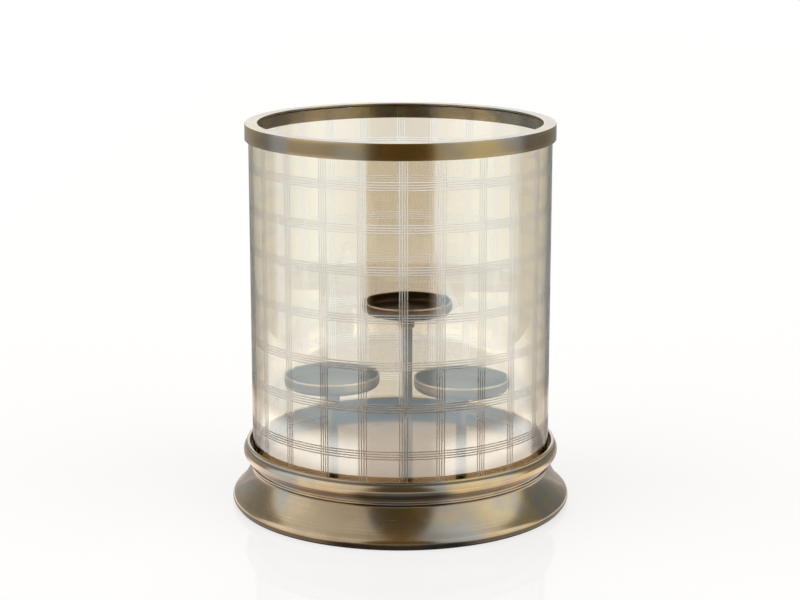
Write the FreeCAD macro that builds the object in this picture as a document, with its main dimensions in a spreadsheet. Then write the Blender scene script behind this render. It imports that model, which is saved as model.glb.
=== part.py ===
import FreeCAD, Part
import math
import os
import Sketcher
from FreeCAD import Vector

# Hurricane candle lantern: a moulded brass stand with three candle cups, and a glass cylinder with a
# brass rim that stands in the gallery of the stand and lifts straight up.
# Frame: origin on the table at the middle of the foot, +Z up, the tall candle at +Y. Millimetres.

doc = FreeCAD.newDocument("hurricane_lantern")
sheet = doc.addObject("Spreadsheet::Sheet", "Sizes")

DRIVING_SIZES = (
    ("glass_diameter", 246.2, "glass cylinder, outside"),
    ("glass_wall", 4.0, "glass cylinder, wall"),
    ("glass_height", 272.5, "glass cylinder, foot to top edge"),
    ("gallery_gap", 2.3, "radial room between the glass and the lip"),
    ("gallery_depth", 11.1, "lip top above the floor plate"),
    ("lip_wall", 2.9, "lip of the collar, wall"),
    ("lip_round", 1.2, "lip of the collar, edge radius"),
    ("bead_proud", 2.5, "bead of the collar beyond the lip"),
    ("bead_round", 6.9, "bead of the collar, section radius"),
    ("bead_height", 10.5, "bead centre above the shoulder"),
    ("collar_foot", 5.3, "collar under the floor plate, thickness"),
    ("collar_land", 10.0, "ledge of the collar that carries the floor plate, width"),
    ("floor_thickness", 2.0, "floor plate"),
    ("floor_clearance", 0.3, "radial room between the floor plate and the lip"),
    ("gasket_thickness", 1.0, "ring under the glass"),
    ("gasket_margin", 0.6, "ring under the glass past each face of the glass wall"),
    ("skirt_height", 32.3, "foot edge to shoulder"),
    ("skirt_wall", 2.5, "skirt, wall at the shoulder"),
    ("skirt_flange", 24.0, "shoulder of the skirt, width inwards"),
    ("shoulder_step", 1.1, "shoulder beyond the neck of the collar"),
    ("shoulder_edge", 1.2, "upright edge of the shoulder"),
    ("foot_spread", 15.3, "foot beyond the shoulder"),
    ("foot_bead", 7.2, "foot bead, height"),
    ("foot_round", 5.0, "foot bead, section radius"),
    ("foot_width", 7.8, "foot ring, width"),
    ("cove_radius", 45.0, "hollow of the skirt, section radius"),
    ("plate_recess", 9.0, "seat of the bottom plate above the foot edge"),
    ("plate_land", 2.4, "seat of the bottom plate, width"),
    ("plate_thickness", 1.5, "bottom plate"),
    ("plate_clearance", 0.3, "radial room round the bottom plate"),
    ("felt_thickness", 1.2, "felt under the foot"),
    ("felt_margin", 0.8, "felt inside each edge of the foot"),
    ("tie_diameter", 8.0, "tie rod"),
    ("tie_tail", 1.0, "tie rod past its nut"),
    ("tie_washer_diameter", 24.0, "washer of the tie rod"),
    ("tie_nut_flats", 13.0, "nut of the tie rod, across flats"),
    ("tie_nut_height", 4.0, "nut of the tie rod"),
    ("washer_thickness", 1.2, "all washers"),
    ("hole_clearance", 0.2, "radial room round studs in plates and washers"),
    ("thread_clearance", 0.05, "radial room in nuts and ferrules"),
    ("post_circle", 121.8, "circle through the three posts, diameter"),
    ("post_diameter", 8.5, "posts"),
    ("stud_diameter", 6.0, "threaded foot of each post"),
    ("stud_tail", 2.0, "threaded foot past its nut"),
    ("post_washer_diameter", 14.0, "washers of the posts"),
    ("post_nut_flats", 10.0, "nuts of the posts, across flats"),
    ("post_nut_height", 5.0, "nuts of the posts"),
    ("ferrule_diameter", 12.0, "sleeve under each cup"),
    ("ferrule_length", 14.0, "sleeve under each cup"),
    ("ferrule_crown", 4.0, "closed end of the sleeve, thickness"),
    ("ferrule_chamfer", 0.8, "foot edge of the sleeve"),
    ("cup_diameter", 77.0, "candle cups, outside"),
    ("cup_height", 10.2, "candle cups"),
    ("cup_wall", 1.3, "candle cups, wall"),
    ("cup_round", 4.5, "candle cups, outer corner radius"),
    ("cup_edge", 0.5, "candle cups, edge radius"),
    ("high_cup_rise", 114.5, "rim of the rear cup above the floor plate"),
    ("low_cup_rise", 72.4, "rims of the front cups above the floor plate"),
    ("rim_gap", 1.5, "radial room between the glass and the rim ring"),
    ("rim_wall", 1.5, "rim ring, wall of band and flange"),
    ("rim_height", 13.3, "rim ring, band"),
    ("rim_overhang", 3.3, "flange of the rim ring inside the glass"),
    ("rim_round", 0.9, "rim ring, outer edge radius"),
    ("bedding_thickness", 0.9, "bedding between glass and rim ring"),
    ("bedding_clearance", 0.1, "radial room between the bedding and the band"),
)
for row, (alias, value, note) in enumerate(DRIVING_SIZES, start=1):
    sheet.set(f"A{row}", note)
    sheet.set(f"B{row}", str(value))
    sheet.setAlias(f"B{row}", alias)
doc.recompute()

# Radii that several pieces share, as expressions on the sheet
GLASS = "Sizes.glass_diameter / 2"
GLASS_BORE = f"({GLASS} - Sizes.glass_wall)"
GALLERY = f"({GLASS} + Sizes.gallery_gap)"
LIP = f"({GALLERY} + Sizes.lip_wall)"
BEAD_CENTRE = f"({LIP} + Sizes.bead_proud - Sizes.bead_round)"
SHOULDER = f"({BEAD_CENTRE} + Sizes.shoulder_step)"
FOOT = f"({SHOULDER} + Sizes.foot_spread)"
FOOT_EDGE = f"({FOOT} - Sizes.foot_round + sqrt(Sizes.foot_round ^ 2 - (Sizes.foot_bead / 2) ^ 2))"
RECESS = f"({FOOT} - Sizes.foot_width)"
BAND_BORE = f"({GLASS} + Sizes.rim_gap)"
POST_REACH = "Sizes.post_circle / 2"
TIE_HOLE = "(Sizes.tie_diameter / 2 + Sizes.hole_clearance)"
STUD_HOLE = "(Sizes.stud_diameter / 2 + Sizes.hole_clearance)"

# Levels that several pieces share, from the table up
FOOT_LEVEL = "Sizes.felt_thickness"
PLATE_TOP = f"({FOOT_LEVEL} + Sizes.plate_recess)"
PLATE_UNDER = f"({PLATE_TOP} - Sizes.plate_thickness)"
SHOULDER_LEVEL = f"({FOOT_LEVEL} + Sizes.skirt_height)"
FLOOR_UNDER = f"({SHOULDER_LEVEL} + Sizes.collar_foot)"
FLOOR_TOP = f"({FLOOR_UNDER} + Sizes.floor_thickness)"
GLASS_FOOT = f"({FLOOR_TOP} + Sizes.gasket_thickness)"
GLASS_TOP = f"({GLASS_FOOT} + Sizes.glass_height)"
FLANGE_UNDER = f"({GLASS_TOP} + Sizes.bedding_thickness)"

# The three candle stations: name, direction of the station, and how far its rim stands over the floor
STATIONS = (
    ("rear", "90 deg", "Sizes.high_cup_rise"),
    ("left", "210 deg", "Sizes.low_cup_rise"),
    ("right", "330 deg", "Sizes.low_cup_rise"),
)

sub_parts = []


def amount(expression):
    """The present value of a sheet expression."""
    return float(sheet.evalExpression(expression))


def place(piece, level, direction=None):
    """Sets a piece on its level, on the main axis or at a candle station."""
    piece.setExpression("Placement.Base.z", level)
    if direction:
        piece.setExpression("Placement.Base.x", f"{POST_REACH} * cos({direction})")
        piece.setExpression("Placement.Base.y", f"{POST_REACH} * sin({direction})")


def new_body(label):
    """An empty body that is one of the sub-parts."""
    body = doc.addObject("PartDesign::Body", label)
    body.Label = label
    sub_parts.append(body)
    return body


def new_sketch(body, name, role):
    """A sketch on one of the body's own origin planes."""
    sketch = body.newObject("Sketcher::SketchObject", name)
    plane = next(item for item in body.Origin.OriginFeatures if item.Role == role)
    sketch.AttachmentSupport = [(plane, "")]
    sketch.MapMode = "FlatFace"
    return sketch


def bind(sketch, constraint, name, expression):
    """Adds a named dimension that follows a sheet expression."""
    index = sketch.addConstraint(constraint)
    sketch.renameConstraint(index, name)
    sketch.setExpression(f"Constraints.{name}", expression)


def pin(sketch, geometry, end, corner, number):
    """Holds one corner of an outline at its radius and height, on an axis where one of them is 0."""
    radius, height = corner
    if radius == "0":
        sketch.addConstraint(Sketcher.Constraint("PointOnObject", geometry, end, -2))
    else:
        across = Sketcher.Constraint("DistanceX", -1, 1, geometry, end, amount(radius))
        bind(sketch, across, f"radius_{number}", radius)
    if height == "0":
        sketch.addConstraint(Sketcher.Constraint("PointOnObject", geometry, end, -1))
    else:
        upward = Sketcher.Constraint("DistanceY", -1, 1, geometry, end, amount(height))
        bind(sketch, upward, f"height_{number}", height)


def arc_between(start, finish, radius, swells):
    """The shorter arc between two points, swelling to the right of the way from start to finish."""
    chord = finish - start
    left = Vector(-chord.y, chord.x, 0).normalize()
    reach = math.sqrt(radius ** 2 - (chord.Length / 2) ** 2)
    sagitta = radius - reach
    side = -1 if swells else 1
    return Part.Arc(start, (start + finish) * 0.5 + left * (side * sagitta), finish)


def turned(label, outline, level, direction=None):
    """A body turned about its own upright axis.

    The outline goes counter-clockwise through corners (radius, height), given as sheet expressions
    with heights from the piece's own seat. A corner may add ("swell" or "hollow", section radius):
    then the edge that leaves it is an arc that swells out of the solid or hollows it.
    """
    body = new_body(label)
    sketch = new_sketch(body, f"{label}_outline", "XZ_Plane")
    corners = [Vector(amount(corner[0]), amount(corner[1]), 0) for corner in outline]
    starts, ends = [], []
    for number, corner in enumerate(outline):
        start, finish = corners[number], corners[(number + 1) % len(corners)]
        if len(corner) == 3:
            form, section = corner[2]
            edge = sketch.addGeometry(arc_between(start, finish, amount(section), form == "swell"))
            radius = Sketcher.Constraint("Radius", edge, amount(section))
            bind(sketch, radius, f"section_{number}", section)
        else:
            edge = sketch.addGeometry(Part.LineSegment(start, finish))
        first, last = sorted((1, 2), key=lambda end: sketch.getPoint(edge, end).distanceToPoint(start))
        starts.append((edge, first))
        ends.append((edge, last))
    for number, corner in enumerate(outline):
        sketch.addConstraint(Sketcher.Constraint("Coincident", *ends[number - 1], *starts[number]))
        pin(sketch, *starts[number], corner[:2], number)
    turn = body.newObject("PartDesign::Revolution", f"{label}_turn")
    turn.Profile = sketch
    turn.ReferenceAxis = (sketch, ["V_Axis"])
    turn.Angle = 360
    sketch.Visibility = False
    place(body, level, direction)
    return body


def ring_outline(bore, outside, height):
    """A plain rectangular ring section that stands on its seat."""
    return ((bore, "0"), (outside, "0"), (outside, height), (bore, height))


def base_skirt():
    """Hollow foot: foot bead, concave cove, upright shoulder edge and a flat shoulder inside."""
    flange_under = "(Sizes.skirt_height - Sizes.skirt_wall)"
    inner_cove = ("swell", "Sizes.cove_radius + Sizes.skirt_wall")
    turned("base_skirt", (
        (RECESS, "0"),
        (FOOT_EDGE, "0", ("swell", "Sizes.foot_round")),
        (FOOT_EDGE, "Sizes.foot_bead", ("hollow", "Sizes.cove_radius")),
        (SHOULDER, "Sizes.skirt_height - Sizes.shoulder_edge"),
        (SHOULDER, "Sizes.skirt_height"),
        (f"{SHOULDER} - Sizes.skirt_flange", "Sizes.skirt_height"),
        (f"{SHOULDER} - Sizes.skirt_flange", flange_under),
        (f"{SHOULDER} - Sizes.skirt_wall", flange_under, inner_cove),
        (f"{RECESS} - Sizes.plate_land", "Sizes.plate_recess"),
        (RECESS, "Sizes.plate_recess"),
    ), FOOT_LEVEL)


def gallery_collar():
    """Ring on the shoulder: neck, fat bead, lip with rounded edges, and the ledge of the floor plate."""
    bore = f"({GALLERY} - Sizes.collar_land)"
    lip_top = "(Sizes.collar_foot + Sizes.floor_thickness + Sizes.gallery_depth)"
    crease = f"(Sizes.bead_height + sqrt(Sizes.bead_round ^ 2 - ({LIP} - {BEAD_CENTRE}) ^ 2))"
    rounded = ("swell", "Sizes.lip_round")
    turned("gallery_collar", (
        (bore, "0"),
        (BEAD_CENTRE, "0"),
        (BEAD_CENTRE, "Sizes.bead_height - Sizes.bead_round", ("swell", "Sizes.bead_round")),
        (LIP, crease),
        (LIP, f"{lip_top} - Sizes.lip_round", rounded),
        (f"{LIP} - Sizes.lip_round", lip_top),
        (f"{GALLERY} + Sizes.lip_round", lip_top, rounded),
        (GALLERY, f"{lip_top} - Sizes.lip_round"),
        (GALLERY, "Sizes.collar_foot"),
        (bore, "Sizes.collar_foot"),
    ), SHOULDER_LEVEL)


def floor_plate():
    """Polished disc with a hole for the threaded foot of each post."""
    body = turned("floor_plate", (
        ("0", "0"),
        (f"{GALLERY} - Sizes.floor_clearance", "0"),
        (f"{GALLERY} - Sizes.floor_clearance", "Sizes.floor_thickness"),
        ("0", "Sizes.floor_thickness"),
    ), FLOOR_UNDER)
    sketch = new_sketch(body, "post_hole_outline", "XY_Plane")
    centre = Vector(0, amount(POST_REACH), 0)
    circle = sketch.addGeometry(Part.Circle(centre, Vector(0, 0, 1), amount(STUD_HOLE)))
    sketch.addConstraint(Sketcher.Constraint("PointOnObject", circle, 3, -2))
    bind(sketch, Sketcher.Constraint("DistanceY", -1, 1, circle, 3, centre.y), "reach", POST_REACH)
    bind(sketch, Sketcher.Constraint("Radius", circle, amount(STUD_HOLE)), "hole", STUD_HOLE)
    hole = body.newObject("PartDesign::Pocket", "post_hole")
    hole.Profile = sketch
    hole.Type = "ThroughAll"
    hole.Midplane = True
    sketch.Visibility = False
    holes = body.newObject("PartDesign::PolarPattern", "post_holes")
    holes.Originals = [hole]
    holes.Axis = (sketch, ["N_Axis"])
    holes.Angle = 360
    holes.Occurrences = len(STATIONS)
    body.Tip = holes


def stand_rings():
    """The plain turned rings and discs of the stand, each on its seat."""
    turned("felt_ring", ring_outline(
        f"{RECESS} + Sizes.felt_margin", f"{FOOT_EDGE} - Sizes.felt_margin", "Sizes.felt_thickness"), "0")
    turned("bottom_plate", ring_outline(
        TIE_HOLE, f"{RECESS} - Sizes.plate_clearance", "Sizes.plate_thickness"), PLATE_UNDER)
    turned("tie_washer", ring_outline(
        TIE_HOLE, "Sizes.tie_washer_diameter / 2", "Sizes.washer_thickness"),
        f"{PLATE_UNDER} - Sizes.washer_thickness")
    turned("glass_gasket", ring_outline(
        f"{GLASS_BORE} - Sizes.gasket_margin", f"{GLASS} + Sizes.gasket_margin", "Sizes.gasket_thickness"),
        FLOOR_TOP)


def tie_rod():
    """Stud from the underside of the floor plate down through the bottom plate and its nut."""
    foot = f"({PLATE_UNDER} - Sizes.washer_thickness - Sizes.tie_nut_height - Sizes.tie_tail)"
    rod = doc.addObject("Part::Cylinder", "tie_rod")
    rod.Label = "tie_rod"
    rod.setExpression("Radius", "Sizes.tie_diameter / 2")
    rod.setExpression("Height", f"{FLOOR_UNDER} - {foot}")
    place(rod, foot)
    sub_parts.append(rod)


def bored(name, blank, bore, height, level, direction=None):
    """A blank with a round hole right through it, both of the given height."""
    drill = doc.addObject("Part::Cylinder", f"{name}_bore")
    drill.setExpression("Radius", bore)
    for piece in (blank, drill):
        piece.setExpression("Height", height)
        place(piece, level, direction)
    cut = doc.addObject("Part::Cut", name)
    cut.Base = blank
    cut.Tool = drill
    return cut


def nut(name, flats, stud, height, level, direction=None):
    """A six-sided nut, sized across its flats."""
    blank = doc.addObject("Part::Prism", f"{name}_blank")
    blank.Polygon = 6
    blank.setExpression("Circumradius", f"{flats} / (2 * cos(30 deg))")
    return bored(name, blank, f"{stud} / 2 + Sizes.thread_clearance", height, level, direction)


def tie_nut():
    """The nut that draws the whole base together."""
    piece = nut("tie_nut", "Sizes.tie_nut_flats", "Sizes.tie_diameter", "Sizes.tie_nut_height",
                f"{PLATE_UNDER} - Sizes.washer_thickness - Sizes.tie_nut_height")
    piece.Label = "tie_nut"
    sub_parts.append(piece)


def post_fasteners():
    """A washer and a nut under the floor plate at each post, in two groups."""
    washers, nuts = [], []
    washer_level = f"{FLOOR_UNDER} - Sizes.washer_thickness"
    for station, direction, rise in STATIONS:
        blank = doc.addObject("Part::Cylinder", f"washer_{station}_blank")
        blank.setExpression("Radius", "Sizes.post_washer_diameter / 2")
        washers.append(bored(f"washer_{station}", blank, STUD_HOLE, "Sizes.washer_thickness",
                             washer_level, direction))
        nuts.append(nut(f"nut_{station}", "Sizes.post_nut_flats", "Sizes.stud_diameter",
                        "Sizes.post_nut_height", f"{washer_level} - Sizes.post_nut_height", direction))
    for label, pieces in (("post_washers", washers), ("post_nuts", nuts)):
        group = doc.addObject("Part::Compound", label)
        group.Label = label
        group.Links = pieces
        sub_parts.append(group)


def candle_station(station, direction, rise):
    """One post with its threaded foot, the sleeve at its top, and the candle cup on the sleeve."""
    post, stud = "Sizes.post_diameter / 2", "Sizes.stud_diameter / 2"
    clamped = "Sizes.floor_thickness + Sizes.washer_thickness + Sizes.post_nut_height"
    stud_length = f"({clamped} + Sizes.stud_tail)"
    cup_under = f"({FLOOR_TOP} + {rise} - Sizes.cup_height)"
    socket_depth = "(Sizes.ferrule_length - Sizes.ferrule_crown)"
    post_length = f"({rise} - Sizes.cup_height - Sizes.ferrule_crown)"
    turned(f"candle_post_{station}", (
        ("0", "0"),
        (stud, "0"),
        (stud, stud_length),
        (post, stud_length),
        (post, f"{stud_length} + {post_length}"),
        ("0", f"{stud_length} + {post_length}"),
    ), f"{FLOOR_TOP} - {stud_length}", direction)

    socket = f"({post} + Sizes.thread_clearance)"
    sleeve = "Sizes.ferrule_diameter / 2"
    turned(f"post_ferrule_{station}", (
        ("0", socket_depth),
        (socket, socket_depth),
        (socket, "0"),
        (f"{sleeve} - Sizes.ferrule_chamfer", "0"),
        (sleeve, "Sizes.ferrule_chamfer"),
        (sleeve, "Sizes.ferrule_length"),
        ("0", "Sizes.ferrule_length"),
    ), f"{cup_under} - Sizes.ferrule_length", direction)

    outside = "Sizes.cup_diameter / 2"
    bore = f"({outside} - Sizes.cup_wall)"
    corner = f"({outside} - Sizes.cup_round)"
    edge = "(Sizes.cup_height - Sizes.cup_edge)"
    turned(f"candle_cup_{station}", (
        ("0", "0"),
        (corner, "0", ("swell", "Sizes.cup_round")),
        (outside, "Sizes.cup_round"),
        (outside, edge, ("swell", "Sizes.cup_edge")),
        (f"{outside} - Sizes.cup_edge", "Sizes.cup_height"),
        (f"{bore} + Sizes.cup_edge", "Sizes.cup_height", ("swell", "Sizes.cup_edge")),
        (bore, edge),
        (bore, "Sizes.cup_round", ("hollow", "Sizes.cup_round - Sizes.cup_wall")),
        (corner, "Sizes.cup_wall"),
        ("0", "Sizes.cup_wall"),
    ), cup_under, direction)


def shade():
    """Glass cylinder, bedding on its top edge, and the angle-section ring that caps it."""
    turned("glass_cylinder", ring_outline(GLASS_BORE, GLASS, "Sizes.glass_height"), GLASS_FOOT)
    turned("rim_bedding", ring_outline(
        GLASS_BORE, f"{BAND_BORE} - Sizes.bedding_clearance", "Sizes.bedding_thickness"), GLASS_TOP)

    band = f"({BAND_BORE} + Sizes.rim_wall)"
    mouth = f"({GLASS_BORE} - Sizes.rim_overhang)"
    flange_under = "(Sizes.rim_height - Sizes.rim_wall)"
    turned("rim_ring", (
        (BAND_BORE, "0"),
        (band, "0"),
        (band, "Sizes.rim_height - Sizes.rim_round", ("swell", "Sizes.rim_round")),
        (f"{band} - Sizes.rim_round", "Sizes.rim_height"),
        (mouth, "Sizes.rim_height"),
        (mouth, flange_under),
        (BAND_BORE, flange_under),
    ), f"{FLANGE_UNDER} - {flange_under}")


def check_document():
    """Stops before anything is written if an object failed or a sub-part has no sound solid."""
    failed = [item.Name for item in doc.Objects if {"Invalid", "Error"} & set(item.State)]
    if failed:
        raise RuntimeError(f"objects failed: {failed}")
    for piece in sub_parts:
        if piece.Shape.isNull() or not piece.Shape.isValid() or not piece.Shape.Solids:
            raise RuntimeError(f"{piece.Label} has no sound solid")


base_skirt()
gallery_collar()
floor_plate()
stand_rings()
tie_rod()
tie_nut()
post_fasteners()
for station in STATIONS:
    candle_station(*station)
shade()
doc.recompute()
check_document()

os.makedirs("parts", exist_ok=True)
for piece in sub_parts:
    piece.Shape.exportStep(f"parts/{piece.Label}.step")
    box = piece.Shape.BoundBox
    print(f"{piece.Label}: {len(piece.Shape.Solids)} solid, {piece.Shape.Volume:.1f} mm3, "
          f"z {box.ZMin:.2f} to {box.ZMax:.2f}")
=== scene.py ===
"""Hurricane candle lantern: a tinted glass shade with a cut plaid, in a turned brass stand.

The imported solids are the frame. Turned and cut surfaces stand in for the ones that show, and the
solids that stay get their finishes here. Metres, +Z up, the tall candle cup towards +Y.
"""

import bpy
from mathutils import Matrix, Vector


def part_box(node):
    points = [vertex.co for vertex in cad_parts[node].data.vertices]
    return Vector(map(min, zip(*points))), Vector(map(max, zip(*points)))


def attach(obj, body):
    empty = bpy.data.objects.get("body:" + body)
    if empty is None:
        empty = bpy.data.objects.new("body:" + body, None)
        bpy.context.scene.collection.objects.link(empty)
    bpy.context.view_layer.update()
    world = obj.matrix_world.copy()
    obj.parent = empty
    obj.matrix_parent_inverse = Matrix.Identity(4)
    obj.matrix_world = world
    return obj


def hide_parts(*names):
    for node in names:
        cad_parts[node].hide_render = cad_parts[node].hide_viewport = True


bl_info = {
    "name": "Hurricane Lantern",
    "version": (1, 0, 0),
    "blender": (4, 5, 0),
    "location": "3D View > Sidebar > Lantern",
    "description": "Turned brass stand, candle cups and cut glass shade of a hurricane lantern",
    "category": "Add Mesh",
}

import math

import bmesh
import bpy
import numpy as np

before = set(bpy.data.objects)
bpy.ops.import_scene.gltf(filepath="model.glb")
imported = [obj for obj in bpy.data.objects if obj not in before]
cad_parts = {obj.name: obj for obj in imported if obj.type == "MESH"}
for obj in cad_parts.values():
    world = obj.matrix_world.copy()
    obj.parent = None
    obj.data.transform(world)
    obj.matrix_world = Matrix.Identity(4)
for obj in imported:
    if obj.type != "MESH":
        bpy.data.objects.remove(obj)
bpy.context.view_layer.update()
STATIONS = ("rear", "left", "right")

# Where the cut groups run: directions round the axis from the front, and levels above the table.
# The front groups are fitted to the photograph and stand a little off an even fifteen degrees. The
# back groups are not seen, so they sway about it by a formula.
GROUP_COUNT = 24
GROUP_STEP = 15.0
FRONT_GROUPS = np.radians((-55.1, -39.5, -23.1, -8.0, 6.9, 20.5, 36.6, 50.7, 66.5))
BACK_START = -53.8
BACK_SWAY = 0.7
RING_GROUPS = (0.0719, 0.1098, 0.1434, 0.1806, 0.2180, 0.2507, 0.2835)
LINES = 4

# Finishes of the glass, in the order of its material slots.
LUSTRE, FLANK, BOTTOM, PLAIN, BARE = range(5)

# Far more than clear glass bends light. It stands for the lustre, and the tint of the reflection
# then sets how much each surface throws back.
GLASS_BEND = 3.4

# Edge rounding of the glass, its margins without cuts and how far the lustre runs under the rim.
GLASS_EASE = 0.0008
GLASS_MARGIN = 0.0025
RIM_LAP = 0.0005

# Posts and sleeves: stud and socket as shares of the piece, then edge sizes in metres.
STUD_SHARE = 0.706
SOCKET_SHARE = 0.717
SOCKET_DEPTH_SHARE = 0.714
STUD_EASE = 0.0006
POST_EASE = 0.0003
SLEEVE_EASE = 0.0002
SLEEVE_CHAMFER = 0.0008

# Degrees by which the light ends sooner on the right than on the left.
END_LEAD = 10.0

# Width of the bell that gathers the turning of a section into lighter outer edges and darker creases.
EDGE_BELL_WIDTH = 0.0009


def reach(name):
    """Outside radius of a solid that is turned about the main axis."""
    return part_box(name)[1].x


def foot_level(name):
    """Lowest level of a solid."""
    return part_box(name)[0].z


def top_level(name):
    """Highest level of a solid."""
    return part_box(name)[1].z


def length(name, default, description):
    """A length in metres that a user may change."""
    return bpy.props.FloatProperty(name=name, description=description, default=default, min=0.0,
                                   precision=5, subtype="DISTANCE", unit="LENGTH")


def colour(name, default, description):
    """A linear colour that a user may change."""
    return bpy.props.FloatVectorProperty(name=name, description=description, default=default, size=3,
                                         min=0.0, max=1.0, subtype="COLOR")


def factor(name, default, description, high=1.0):
    """A plain number that a user may change."""
    return bpy.props.FloatProperty(name=name, description=description, default=default, min=0.0, max=high)


class LanternSizes(bpy.types.PropertyGroup):
    """Section sizes of the turned pieces and of the cut lines."""

    glass_wall: length("Glass wall", 0.0040, "Thickness of the glass cylinder")
    lip_wall: length("Lip wall", 0.0029, "Thickness of the lip round the glass")
    lip_round: length("Lip edge", 0.0012, "Edge radius of the lip")
    bead_proud: length("Bead proud", 0.0025, "How far the collar bead stands beyond the lip")
    bead_round: length("Bead round", 0.0069, "Section radius of the collar bead")
    bead_height: length("Bead height", 0.0105, "Centre of the collar bead above the shoulder")
    collar_foot: length("Collar foot", 0.0053, "Thickness of the collar under the floor plate")
    collar_land: length("Collar land", 0.0100, "Width of the ledge that carries the floor plate")
    skirt_wall: length("Skirt wall", 0.0025, "Thickness of the skirt at the shoulder")
    skirt_flange: length("Skirt flange", 0.0240, "Width of the shoulder inwards")
    shoulder_step: length("Shoulder step", 0.0011, "Shoulder beyond the neck of the collar")
    shoulder_edge: length("Shoulder edge", 0.0012, "Upright edge of the shoulder")
    shoulder_groove: length("Shoulder groove", 0.0007, "Undercut of the shoulder edge above the cove")
    foot_bead: length("Foot bead", 0.0072, "Height of the foot bead")
    foot_round: length("Foot round", 0.0050, "Section radius of the foot bead")
    foot_width: length("Foot width", 0.0078, "Width of the foot ring")
    cove_radius: length("Cove radius", 0.0450, "Section radius of the hollow of the skirt")
    plate_recess: length("Plate recess", 0.0090, "Seat of the bottom plate above the foot edge")
    plate_land: length("Plate land", 0.0024, "Width of the seat of the bottom plate")
    cup_wall: length("Cup wall", 0.0013, "Thickness of the candle cups")
    cup_round: length("Cup round", 0.0045, "Outer corner radius of the candle cups")
    cup_edge: length("Cup edge", 0.0005, "Edge radius of the candle cups")
    rim_wall: length("Rim wall", 0.0015, "Thickness of the rim ring")
    rim_overhang: length("Rim overhang", 0.0033, "Flange of the rim ring inside the glass")
    rim_round: length("Rim round", 0.0009, "Outer edge radius of the rim ring")
    edge_ease: length("Eased edge", 0.0004, "Small rounding of the other turned edges")
    cut_width: length("Cut width", 0.0009, "Width of one cut line")
    cut_depth: length("Cut depth", 0.00004, "Depth of one cut line")
    lustre_foot: length("Lustre foot", 0.0546, "Level above the table where the lustre of the glass starts")
    cut_pitch: length("Cut pitch", 0.0020, "Distance between the four lines of a group")


class LanternColours(bpy.types.PropertyGroup):
    """Colours of the finishes."""

    brass_light: colour("Brass, worn", (0.40, 0.312, 0.182), "Rubbed aged brass")
    brass_brown: colour("Brass, patina", (0.215, 0.158, 0.088), "Patina in the hollows of the aged brass")
    brass_grey: colour("Brass, tarnish", (0.205, 0.212, 0.205), "Blue-grey tarnish on the aged brass")
    floor_light: colour("Floor brass", (0.27, 0.170, 0.083), "Polished brass of the floor plate")
    floor_brown: colour("Floor brass, dull", (0.21, 0.125, 0.056), "Dull patches of the floor plate")
    cup_light: colour("Cup brass", (0.19, 0.14, 0.085), "Candle cups and posts, rubbed")
    # The cup edge colour is partly rubbed metal and partly a painted highlight of the light on the rim.
    cup_edge: colour("Cup edge", (0.66, 0.60, 0.50), "Candle cups, bright on the worn edge")
    cup_brown: colour("Cup brass, dark", (0.11, 0.073, 0.040), "Candle cups and posts, darkened")
    glass_tint: colour("Glass tint", (0.835, 0.78, 0.595), "Light that comes through one wall of the glass")
    margin_amber: colour("Margin amber", (0.46, 0.28, 0.12), "Bare glass below the lustre")
    cut_white: colour("Cut line", (1.0, 1.0, 0.99), "Ground surface of the cut lines")
    silicone: colour("Silicone", (0.80, 0.79, 0.75), "Clear bedding and gasket")
    felt: colour("Felt", (0.035, 0.033, 0.030), "Felt under the foot")
    black_paint: colour("Black paint", (0.022, 0.021, 0.020), "Bottom plate")
    zinc: colour("Zinc", (0.55, 0.55, 0.52), "Plated nuts, washers and tie rod")
    table: colour("Table", (0.37, 0.37, 0.37), "White table top, as far as it scatters light")


class LanternStage(bpy.types.PropertyGroup):
    """Camera, table and studio light."""

    camera_azimuth: bpy.props.FloatProperty(
        name="Camera azimuth", description="Turn of the camera round the lantern from the front",
        default=math.radians(5.78), subtype="ANGLE", unit="ROTATION")
    camera_pitch: bpy.props.FloatProperty(
        name="Camera pitch", description="How far the camera looks down",
        default=math.radians(12.711), subtype="ANGLE", unit="ROTATION")
    camera_yaw: bpy.props.FloatProperty(
        name="Camera yaw", description="How far the camera looks to the left of the main axis",
        default=0.00022, subtype="ANGLE", unit="ROTATION")
    camera_distance: length("Camera distance", 1.63536, "Level distance of the camera from the main axis")
    camera_height: length("Camera height", 0.53735, "Height of the camera above the table")
    camera_lens: factor("Camera lens", 91.46, "Focal length in millimetres", 400.0)
    table_front: length("Table front", 1.10, "Front edge of the table from the main axis")
    table_reach: length("Table reach", 4.0, "Back edge of the table from the main axis")
    studio_light: factor("Studio light", 1.62, "Brightness of the two soft walls of light", 5.0)
    table_white: factor("Table white", 0.68, "Share of the white that the table shows by itself")
    # Strength of the painted glow that metal and glass see on the table.
    table_glow_strength: factor("Table shine", 1.0, "White of the table in metal and glass", 5.0)
    table_gloss: factor("Table gloss", 0.06, "Mirror share of the table top")
    table_side: length("Table side", 0.70, "Side edges of the table from the main axis")


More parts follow.
